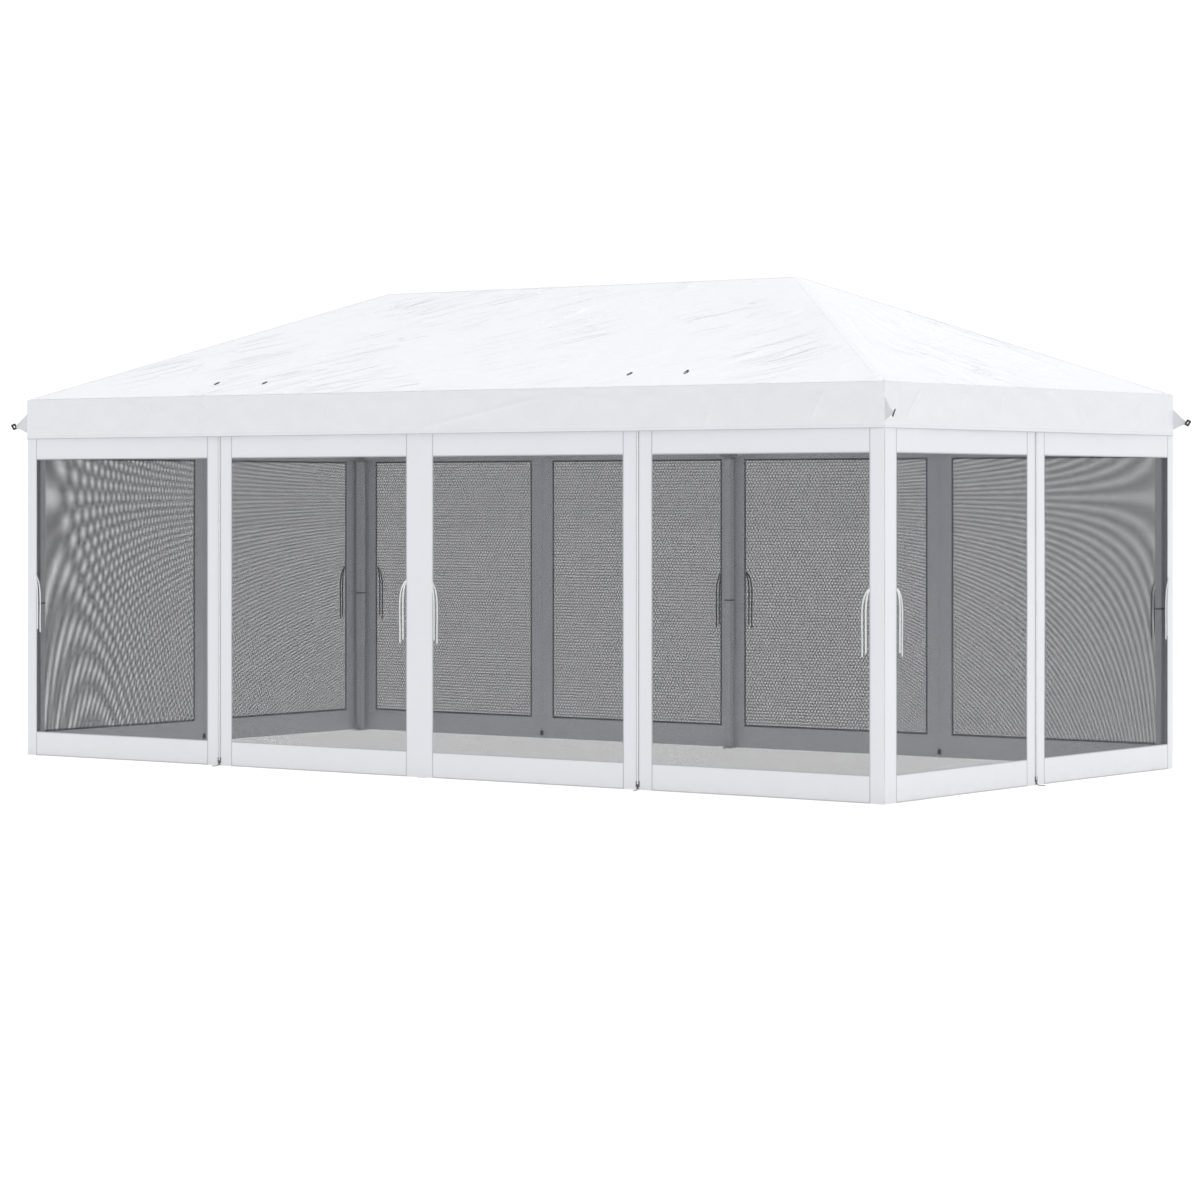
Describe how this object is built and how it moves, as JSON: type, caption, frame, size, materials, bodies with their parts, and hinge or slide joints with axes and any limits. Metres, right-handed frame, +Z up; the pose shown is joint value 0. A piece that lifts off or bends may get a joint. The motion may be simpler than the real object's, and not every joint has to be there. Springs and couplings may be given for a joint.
{
  "type": "pop-up screen house",
  "caption": "Rectangular pop-up garden shelter with a white hip canopy, straight valance, zipped insect-netting walls and a folding scissor frame on telescoping legs.",
  "frame": {"origin": "on the ground, at the middle of the plan", "axes": "+X along the length, +Y across from the front to the back, +Z up"},
  "size_m": [6.0012, 3.1062, 2.717],
  "materials": {
    "canopy_fabric": "matte",
    "netting_fabric": "matte",
    "frame_metal": "satin",
    "frame_plastic": "matte"
  },
  "bodies": {
    "leg_front_mid": {"leg_front_mid": "frame_metal", "canopy": "canopy_fabric", "netting": "netting_fabric"},
    "bar_front_left_1": {"bar_front_left_1": "frame_metal"},
    "bar_front_left_2": {"bar_front_left_2": "frame_metal"},
    "bar_front_left_3": {"bar_front_left_3": "frame_metal"},
    "bar_front_left_4": {"bar_front_left_4": "frame_metal"},
    "slider_front_mid": {"slider_front_mid": "frame_plastic"},
    "hub_front_left": {"hub_front_left": "frame_plastic"},
    "leg_front_left": {"leg_front_left": "frame_metal"},
    "slider_front_left": {"slider_front_left": "frame_plastic"},
    "rafter_front_left": {"rafter_front_left": "frame_metal"},
    "pull_front_left": {"pull_front_left": "frame_plastic"},
    "bar_left_1": {"bar_left_1": "frame_metal"},
    "bar_left_2": {"bar_left_2": "frame_metal"},
    "bar_left_3": {"bar_left_3": "frame_metal"},
    "bar_left_4": {"bar_left_4": "frame_metal"},
    "hub_left": {"hub_left": "frame_plastic"},
    "leg_back_left": {"leg_back_left": "frame_metal"},
    "slider_back_left": {"slider_back_left": "frame_plastic"},
    "pull_left": {"pull_left": "frame_plastic"},
    "bar_back_left_1": {"bar_back_left_1": "frame_metal"},
    "bar_back_left_2": {"bar_back_left_2": "frame_metal"},
    "bar_back_left_3": {"bar_back_left_3": "frame_metal"},
    "bar_back_left_4": {"bar_back_left_4": "frame_metal"},
    "hub_back_left": {"hub_back_left": "frame_plastic"},
    "leg_back_mid": {"leg_back_mid": "frame_metal"},
    "slider_back_mid": {"slider_back_mid": "frame_plastic"},
    "rafter_back_left": {"rafter_back_left": "frame_metal"},
    "pull_back_left": {"pull_back_left": "frame_plastic"},
    "bar_front_right_1": {"bar_front_right_1": "frame_metal"},
    "bar_front_right_2": {"bar_front_right_2": "frame_metal"},
    "bar_front_right_3": {"bar_front_right_3": "frame_metal"},
    "bar_front_right_4": {"bar_front_right_4": "frame_metal"},
    "hub_front_right": {"hub_front_right": "frame_plastic"},
    "leg_front_right": {"leg_front_right": "frame_metal"},
    "slider_front_right": {"slider_front_right": "frame_plastic"},
    "rafter_front_right": {"rafter_front_right": "frame_metal"},
    "pull_front_right": {"pull_front_right": "frame_plastic"},
    "bar_right_1": {"bar_right_1": "frame_metal"},
    "bar_right_2": {"bar_right_2": "frame_metal"},
    "bar_right_3": {"bar_right_3": "frame_metal"},
    "bar_right_4": {"bar_right_4": "frame_metal"},
    "hub_right": {"hub_right": "frame_plastic"},
    "leg_back_right": {"leg_back_right": "frame_metal"},
    "slider_back_right": {"slider_back_right": "frame_plastic"},
    "pull_right": {"pull_right": "frame_plastic"},
    "bar_back_right_1": {"bar_back_right_1": "frame_metal"},
    "bar_back_right_2": {"bar_back_right_2": "frame_metal"},
    "bar_back_right_3": {"bar_back_right_3": "frame_metal"},
    "bar_back_right_4": {"bar_back_right_4": "frame_metal"},
    "hub_back_right": {"hub_back_right": "frame_plastic"},
    "rafter_back_right": {"rafter_back_right": "frame_metal"},
    "pull_back_right": {"pull_back_right": "frame_plastic"},
    "foot_front_mid": {"foot_front_mid": "frame_metal"},
    "foot_front_left": {"foot_front_left": "frame_metal"},
    "foot_back_left": {"foot_back_left": "frame_metal"},
    "foot_back_mid": {"foot_back_mid": "frame_metal"},
    "foot_front_right": {"foot_front_right": "frame_metal"},
    "foot_back_right": {"foot_back_right": "frame_metal"}
  },
  "joints": [
    {"name": "fold", "type": "hinge", "parent": "leg_front_mid", "child": "bar_front_left_1", "pos_m": [-0.045, -1.4475, 2], "axis": [0, -1, 0], "range_deg": [0, 77.87], "deforming": ["canopy", "netting"]},
    {"name": "cross_front_left", "type": "hinge", "parent": "bar_front_left_1", "child": "bar_front_left_2", "pos_m": [-0.74625, -1.4475, 1.88], "axis": [0, -1, 0], "range_deg": [-156.24, 0.5]},
    {"name": "level_slider_front_mid", "type": "hinge", "parent": "bar_front_left_2", "child": "slider_front_mid", "pos_m": [-0.045, -1.4475, 1.76], "axis": [0, -1, 0], "range_deg": [-0.5, 78.37]},
    {"name": "level_hub_front_left", "type": "hinge", "parent": "bar_front_left_2", "child": "hub_front_left", "pos_m": [-1.4475, -1.4475, 2], "axis": [0, -1, 0], "range_deg": [-0.5, 78.37]},
    {"name": "top_front_left_3", "type": "hinge", "parent": "bar_front_left_2", "child": "bar_front_left_3", "pos_m": [-1.4475, -1.4475, 2], "axis": [0, -1, 0], "range_deg": [-0.5, 156.24]},
    {"name": "low_front_left_4", "type": "hinge", "parent": "bar_front_left_1", "child": "bar_front_left_4", "pos_m": [-1.4475, -1.4475, 1.76], "axis": [0, -1, 0], "range_deg": [-156.24, 0.5]},
    {"name": "level_leg_front_left", "type": "hinge", "parent": "bar_front_left_4", "child": "leg_front_left", "pos_m": [-2.85, -1.4475, 2], "axis": [0, -1, 0], "range_deg": [-0.5, 78.37]},
    {"name": "level_slider_front_left", "type": "hinge", "parent": "bar_front_left_3", "child": "slider_front_left", "pos_m": [-2.85, -1.4475, 1.76], "axis": [0, -1, 0], "range_deg": [-78.37, 0.5]},
    {"name": "drop_rafter_front_left", "type": "hinge", "parent": "hub_front_left", "child": "rafter_front_left", "pos_m": [-1.4475, -1.3995, 2.03], "axis": [-1, 0, 0], "range_deg": [-0.5, 113]},
    {"name": "zip_front_left", "type": "slide", "parent": "hub_front_left", "child": "pull_front_left", "axis": [0, 0, 1], "range_m": [0, 1.65]},
    {"name": "lift_left_1", "type": "hinge", "parent": "leg_front_left", "child": "bar_left_1", "pos_m": [-2.895, -1.4025, 2], "axis": [-1, 0, 0], "range_deg": [-0.5, 78.37]},
    {"name": "cross_left", "type": "hinge", "parent": "bar_left_1", "child": "bar_left_2", "pos_m": [-2.895, -0.70125, 1.88], "axis": [-1, 0, 0], "range_deg": [-156.24, 0.5]},
    {"name": "level_hub_left", "type": "hinge", "parent": "bar_left_2", "child": "hub_left", "pos_m": [-2.895, 0, 2], "axis": [-1, 0, 0], "range_deg": [-0.5, 78.37]},
    {"name": "top_left_3", "type": "hinge", "parent": "bar_left_2", "child": "bar_left_3", "pos_m": [-2.895, 0, 2], "axis": [-1, 0, 0], "range_deg": [-0.5, 156.24]},
    {"name": "low_left_4", "type": "hinge", "parent": "bar_left_1", "child": "bar_left_4", "pos_m": [-2.895, 0, 1.76], "axis": [-1, 0, 0], "range_deg": [-156.24, 0.5]},
    {"name": "level_leg_back_left", "type": "hinge", "parent": "bar_left_4", "child": "leg_back_left", "pos_m": [-2.895, 1.4025, 2], "axis": [-1, 0, 0], "range_deg": [-0.5, 78.37]},
    {"name": "level_slider_back_left", "type": "hinge", "parent": "bar_left_3", "child": "slider_back_left", "pos_m": [-2.895, 1.4025, 1.76], "axis": [-1, 0, 0], "range_deg": [-78.37, 0.5]},
    {"name": "zip_left", "type": "slide", "parent": "hub_left", "child": "pull_left", "axis": [0, 0, 1], "range_m": [0, 1.65]},
    {"name": "lift_back_left_1", "type": "hinge", "parent": "leg_back_left", "child": "bar_back_left_1", "pos_m": [-2.85, 1.4475, 2], "axis": [0, 1, 0], "range_deg": [-0.5, 78.37]},
    {"name": "cross_back_left", "type": "hinge", "parent": "bar_back_left_1", "child": "bar_back_left_2", "pos_m": [-2.14875, 1.4475, 1.88], "axis": [0, 1, 0], "range_deg": [-156.24, 0.5]},
    {"name": "level_hub_back_left", "type": "hinge", "parent": "bar_back_left_2", "child": "hub_back_left", "pos_m": [-1.4475, 1.4475, 2], "axis": [0, 1, 0], "range_deg": [-0.5, 78.37]},
    {"name": "top_back_left_3", "type": "hinge", "parent": "bar_back_left_2", "child": "bar_back_left_3", "pos_m": [-1.4475, 1.4475, 2], "axis": [0, 1, 0], "range_deg": [-0.5, 156.24]},
    {"name": "low_back_left_4", "type": "hinge", "parent": "bar_back_left_1", "child": "bar_back_left_4", "pos_m": [-1.4475, 1.4475, 1.76], "axis": [0, 1, 0], "range_deg": [-156.24, 0.5]},
    {"name": "level_leg_back_mid", "type": "hinge", "parent": "bar_back_left_4", "child": "leg_back_mid", "pos_m": [-0.045, 1.4475, 2], "axis": [0, 1, 0], "range_deg": [-0.5, 78.37]},
    {"name": "level_slider_back_mid", "type": "hinge", "parent": "bar_back_left_3", "child": "slider_back_mid", "pos_m": [-0.045, 1.4475, 1.76], "axis": [0, 1, 0], "range_deg": [-78.37, 0.5]},
    {"name": "drop_rafter_back_left", "type": "hinge", "parent": "hub_back_left", "child": "rafter_back_left", "pos_m": [-1.4475, 1.3995, 2.03], "axis": [1, 0, 0], "range_deg": [-0.5, 113]},
    {"name": "zip_back_left", "type": "slide", "parent": "hub_back_left", "child": "pull_back_left", "axis": [0, 0, 1], "range_m": [0, 1.65]},
    {"name": "lift_front_right_1", "type": "hinge", "parent": "leg_front_mid", "child": "bar_front_right_1", "pos_m": [0.045, -1.4475, 2], "axis": [0, 1, 0], "range_deg": [-0.5, 78.37]},
    {"name": "cross_front_right", "type": "hinge", "parent": "bar_front_right_1", "child": "bar_front_right_2", "pos_m": [0.74625, -1.4475, 1.88], "axis": [0, 1, 0], "range_deg": [-156.24, 0.5]},
    {"name": "level_hub_front_right", "type": "hinge", "parent": "bar_front_right_2", "child": "hub_front_right", "pos_m": [1.4475, -1.4475, 2], "axis": [0, 1, 0], "range_deg": [-0.5, 78.37]},
    {"name": "top_front_right_3", "type": "hinge", "parent": "bar_front_right_2", "child": "bar_front_right_3", "pos_m": [1.4475, -1.4475, 2], "axis": [0, 1, 0], "range_deg": [-0.5, 156.24]},
    {"name": "low_front_right_4", "type": "hinge", "parent": "bar_front_right_1", "child": "bar_front_right_4", "pos_m": [1.4475, -1.4475, 1.76], "axis": [0, 1, 0], "range_deg": [-156.24, 0.5]},
    {"name": "level_leg_front_right", "type": "hinge", "parent": "bar_front_right_4", "child": "leg_front_right", "pos_m": [2.85, -1.4475, 2], "axis": [0, 1, 0], "range_deg": [-0.5, 78.37]},
    {"name": "level_slider_front_right", "type": "hinge", "parent": "bar_front_right_3", "child": "slider_front_right", "pos_m": [2.85, -1.4475, 1.76], "axis": [0, 1, 0], "range_deg": [-78.37, 0.5]},
    {"name": "drop_rafter_front_right", "type": "hinge", "parent": "hub_front_right", "child": "rafter_front_right", "pos_m": [1.4475, -1.3995, 2.03], "axis": [-1, 0, 0], "range_deg": [-0.5, 113]},
    {"name": "zip_front_right", "type": "slide", "parent": "hub_front_right", "child": "pull_front_right", "axis": [0, 0, 1], "range_m": [0, 1.65]},
    {"name": "lift_right_1", "type": "hinge", "parent": "leg_front_right", "child": "bar_right_1", "pos_m": [2.895, -1.4025, 2], "axis": [-1, 0, 0], "range_deg": [-0.5, 78.37]},
    {"name": "cross_right", "type": "hinge", "parent": "bar_right_1", "child": "bar_right_2", "pos_m": [2.895, -0.70125, 1.88], "axis": [-1, 0, 0], "range_deg": [-156.24, 0.5]},
    {"name": "level_hub_right", "type": "hinge", "parent": "bar_right_2", "child": "hub_right", "pos_m": [2.895, 0, 2], "axis": [-1, 0, 0], "range_deg": [-0.5, 78.37]},
    {"name": "top_right_3", "type": "hinge", "parent": "bar_right_2", "child": "bar_right_3", "pos_m": [2.895, 0, 2], "axis": [-1, 0, 0], "range_deg": [-0.5, 156.24]},
    {"name": "low_right_4", "type": "hinge", "parent": "bar_right_1", "child": "bar_right_4", "pos_m": [2.895, 0, 1.76], "axis": [-1, 0, 0], "range_deg": [-156.24, 0.5]},
    {"name": "level_leg_back_right", "type": "hinge", "parent": "bar_right_4", "child": "leg_back_right", "pos_m": [2.895, 1.4025, 2], "axis": [-1, 0, 0], "range_deg": [-0.5, 78.37]},
    {"name": "level_slider_back_right", "type": "hinge", "parent": "bar_right_3", "child": "slider_back_right", "pos_m": [2.895, 1.4025, 1.76], "axis": [-1, 0, 0], "range_deg": [-78.37, 0.5]},
    {"name": "zip_right", "type": "slide", "parent": "hub_right", "child": "pull_right", "axis": [0, 0, 1], "range_m": [0, 1.65]},
    {"name": "lift_back_right_1", "type": "hinge", "parent": "leg_back_right", "child": "bar_back_right_1", "pos_m": [2.85, 1.4475, 2], "axis": [0, -1, 0], "range_deg": [-0.5, 78.37]},
    {"name": "cross_back_right", "type": "hinge", "parent": "bar_back_right_1", "child": "bar_back_right_2", "pos_m": [2.14875, 1.4475, 1.88], "axis": [0, -1, 0], "range_deg": [-156.24, 0.5]},
    {"name": "level_hub_back_right", "type": "hinge", "parent": "bar_back_right_2", "child": "hub_back_right", "pos_m": [1.4475, 1.4475, 2], "axis": [0, -1, 0], "range_deg": [-0.5, 78.37]},
    {"name": "top_back_right_3", "type": "hinge", "parent": "bar_back_right_2", "child": "bar_back_right_3", "pos_m": [1.4475, 1.4475, 2], "axis": [0, -1, 0], "range_deg": [-0.5, 156.24]},
    {"name": "low_back_right_4", "type": "hinge", "parent": "bar_back_right_1", "child": "bar_back_right_4", "pos_m": [1.4475, 1.4475, 1.76], "axis": [0, -1, 0], "range_deg": [-156.24, 0.5]},
    {"name": "drop_rafter_back_right", "type": "hinge", "parent": "hub_back_right", "child": "rafter_back_right", "pos_m": [1.4475, 1.3995, 2.03], "axis": [1, 0, 0], "range_deg": [-0.5, 113]},
    {"name": "zip_back_right", "type": "slide", "parent": "hub_back_right", "child": "pull_back_right", "axis": [0, 0, 1], "range_m": [0, 1.65]},
    {"name": "extend_front_mid", "type": "slide", "parent": "leg_front_mid", "child": "foot_front_mid", "axis": [0, 0, 1], "range_m": [0, 0.44]},
    {"name": "extend_front_left", "type": "slide", "parent": "leg_front_left", "child": "foot_front_left", "axis": [0, 0, 1], "range_m": [0, 0.44]},
    {"name": "extend_back_left", "type": "slide", "parent": "leg_back_left", "child": "foot_back_left", "axis": [0, 0, 1], "range_m": [0, 0.44]},
    {"name": "extend_back_mid", "type": "slide", "parent": "leg_back_mid", "child": "foot_back_mid", "axis": [0, 0, 1], "range_m": [0, 0.44]},
    {"name": "extend_front_right", "type": "slide", "parent": "leg_front_right", "child": "foot_front_right", "axis": [0, 0, 1], "range_m": [0, 0.44]},
    {"name": "extend_back_right", "type": "slide", "parent": "leg_back_right", "child": "foot_back_right", "axis": [0, 0, 1], "range_m": [0, 0.44]}
  ],
  "couplings": [
    {"joint": "cross_front_left", "follows": "fold", "ratio": -2},
    {"joint": "level_slider_front_mid", "follows": "fold", "ratio": 1},
    {"joint": "level_hub_front_left", "follows": "fold", "ratio": 1},
    {"joint": "top_front_left_3", "follows": "fold", "ratio": 2},
    {"joint": "low_front_left_4", "follows": "fold", "ratio": -2},
    {"joint": "level_leg_front_left", "follows": "fold", "ratio": 1},
    {"joint": "level_slider_front_left", "follows": "fold", "ratio": -1},
    {"joint": "drop_rafter_front_left", "follows": "fold", "ratio": 1.4447},
    {"joint": "lift_left_1", "follows": "fold", "ratio": 1},
    {"joint": "cross_left", "follows": "fold", "ratio": -2},
    {"joint": "level_hub_left", "follows": "fold", "ratio": 1},
    {"joint": "top_left_3", "follows": "fold", "ratio": 2},
    {"joint": "low_left_4", "follows": "fold", "ratio": -2},
    {"joint": "level_leg_back_left", "follows": "fold", "ratio": 1},
    {"joint": "level_slider_back_left", "follows": "fold", "ratio": -1},
    {"joint": "lift_back_left_1", "follows": "fold", "ratio": 1},
    {"joint": "cross_back_left", "follows": "fold", "ratio": -2},
    {"joint": "level_hub_back_left", "follows": "fold", "ratio": 1},
    {"joint": "top_back_left_3", "follows": "fold", "ratio": 2},
    {"joint": "low_back_left_4", "follows": "fold", "ratio": -2},
    {"joint": "level_leg_back_mid", "follows": "fold", "ratio": 1},
    {"joint": "level_slider_back_mid", "follows": "fold", "ratio": -1},
    {"joint": "drop_rafter_back_left", "follows": "fold", "ratio": 1.4447},
    {"joint": "lift_front_right_1", "follows": "fold", "ratio": 1},
    {"joint": "cross_front_right", "follows": "fold", "ratio": -2},
    {"joint": "level_hub_front_right", "follows": "fold", "ratio": 1},
    {"joint": "top_front_right_3", "follows": "fold", "ratio": 2},
    {"joint": "low_front_right_4", "follows": "fold", "ratio": -2},
    {"joint": "level_leg_front_right", "follows": "fold", "ratio": 1},
    {"joint": "level_slider_front_right", "follows": "fold", "ratio": -1},
    {"joint": "drop_rafter_front_right", "follows": "fold", "ratio": 1.4447},
    {"joint": "lift_right_1", "follows": "fold", "ratio": 1},
    {"joint": "cross_right", "follows": "fold", "ratio": -2},
    {"joint": "level_hub_right", "follows": "fold", "ratio": 1},
    {"joint": "top_right_3", "follows": "fold", "ratio": 2},
    {"joint": "low_right_4", "follows": "fold", "ratio": -2},
    {"joint": "level_leg_back_right", "follows": "fold", "ratio": 1},
    {"joint": "level_slider_back_right", "follows": "fold", "ratio": -1},
    {"joint": "lift_back_right_1", "follows": "fold", "ratio": 1},
    {"joint": "cross_back_right", "follows": "fold", "ratio": -2},
    {"joint": "level_hub_back_right", "follows": "fold", "ratio": 1},
    {"joint": "top_back_right_3", "follows": "fold", "ratio": 2},
    {"joint": "low_back_right_4", "follows": "fold", "ratio": -2},
    {"joint": "drop_rafter_back_right", "follows": "fold", "ratio": 1.4447}
  ]
}
